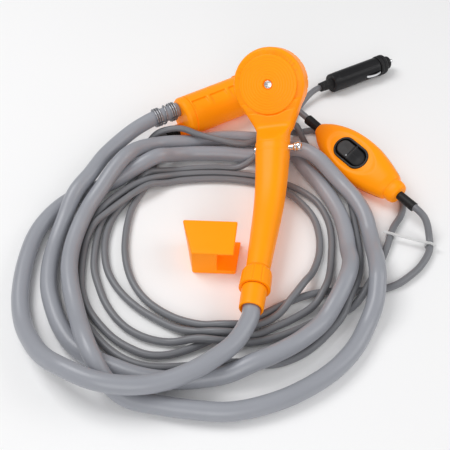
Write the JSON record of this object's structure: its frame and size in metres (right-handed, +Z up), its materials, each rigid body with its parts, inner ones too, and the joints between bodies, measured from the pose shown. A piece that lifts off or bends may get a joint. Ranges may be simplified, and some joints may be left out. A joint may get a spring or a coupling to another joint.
{
  "type": "camp shower pump",
  "caption": "Portable camp shower set: submersible pump, coiled hose, hand shower with shut-off pin, in-line rocker switch, vehicle plug and clip-on hanger.",
  "frame": {"origin": "on the table under the middle of the pump, hand shower and hanger", "axes": "+Z up, +X to the right and +Y away as the set is laid out, handle roughly along Y"},
  "size_m": [0.3769, 0.4465, 0.1079],
  "materials": {
    "orange": "satin moulded orange plastic",
    "black": "satin black plastic",
    "hose": "smooth grey soft vinyl hose",
    "cord": "smooth grey cord sheath",
    "seal": "black seal rubber",
    "chrome": "bright plated",
    "steel": "plain steel",
    "brass": "plain brass",
    "white": "white moulded plastic",
    "grey": "grey moulded plastic",
    "clear": "clear plastic tie",
    "glass": "clear fuse tube"
  },
  "bodies": {
    "set": {"handset_shell": "orange", "head_back_disc": "orange", "disc_screw": "steel", "spray_plate": "white", "spray_seal": "seal", "spray_ring": "orange", "tail_spigot": "white", "tail_washer": "seal", "hose_sleeve": "orange", "shower_hose": "hose", "hose_clamp": "steel", "pump_cap": "orange", "cord_gland": "black", "pump_casing": "orange", "casing_seal": "seal", "strainer": "orange", "motor_end": "grey", "motor_can": "steel", "volute_plate": "grey", "shaft_seal": "seal", "switch_top": "orange", "switch_base": "orange", "switch_screws": "steel", "rocker_frame": "black", "rocker_pin": "steel", "switch_contacts": "brass", "boot_upper": "black", "boot_lower": "black", "pump_cord": "cord", "plug_cord": "cord", "cord_tie": "clear", "plug_boot": "black", "plug_barrel": "black", "tip_spring": "steel"},
    "valve": {"valve_pin": "chrome", "valve_seals": "seal", "valve_cap": "chrome"},
    "nut": {"union_nut": "orange"},
    "rocker_body": {"rocker": "black"},
    "rotor": {"rotor_shaft": "steel", "impeller": "white"},
    "tip": {"plug_tip": "chrome", "plug_fuse": "glass"},
    "ring": {"plug_ring": "black"},
    "clip_a": {"clip_left": "steel"},
    "clip_b": {"clip_right": "steel"},
    "hanger_body": {"hanger": "orange"}
  },
  "joints": [
    {"name": "valve_slide", "type": "slide", "parent": "set", "child": "valve", "axis": [-0.9455, 0.1592, -0.284], "range_m": [0, 0.007]},
    {"name": "nut_turn", "type": "hinge", "parent": "set", "child": "nut", "pos_m": [0.02373, -0.12938, 0.02209], "axis": [0.165, 0.9863, 0.0035], "continuous": true},
    {"name": "rocker_tilt", "type": "hinge", "parent": "set", "child": "rocker_body", "pos_m": [0.12292, 0.02472, 0.03], "axis": [0.7874, 0.5514, 0.2756], "range_deg": [-14, 0]},
    {"name": "rotor_spin", "type": "hinge", "parent": "set", "child": "rotor", "pos_m": [-0.02364, 0.09806, 0.0221], "axis": [0.848, 0.5299, 0], "continuous": true},
    {"name": "tip_press", "type": "slide", "parent": "set", "child": "tip", "axis": [-0.866, -0.5, 0], "range_m": [0, 0.003], "stiffness_N_per_m": 300},
    {"name": "ring_turn", "type": "hinge", "parent": "set", "child": "ring", "pos_m": [0.16489, 0.18496, 0.01], "axis": [0.866, 0.5, 0], "continuous": true},
    {"name": "clip_a_press", "type": "slide", "parent": "set", "child": "clip_a", "axis": [0.5, -0.866, 0], "range_m": [0, 0.002], "stiffness_N_per_m": 500},
    {"name": "clip_b_press", "type": "slide", "parent": "set", "child": "clip_b", "axis": [-0.5, 0.866, 0], "range_m": [0, 0.002], "stiffness_N_per_m": 500},
    {"name": "hanger_lift", "type": "slide", "parent": "set", "child": "hanger_body", "axis": [0, 0, 1], "range_m": [0, 0.12]}
  ]
}
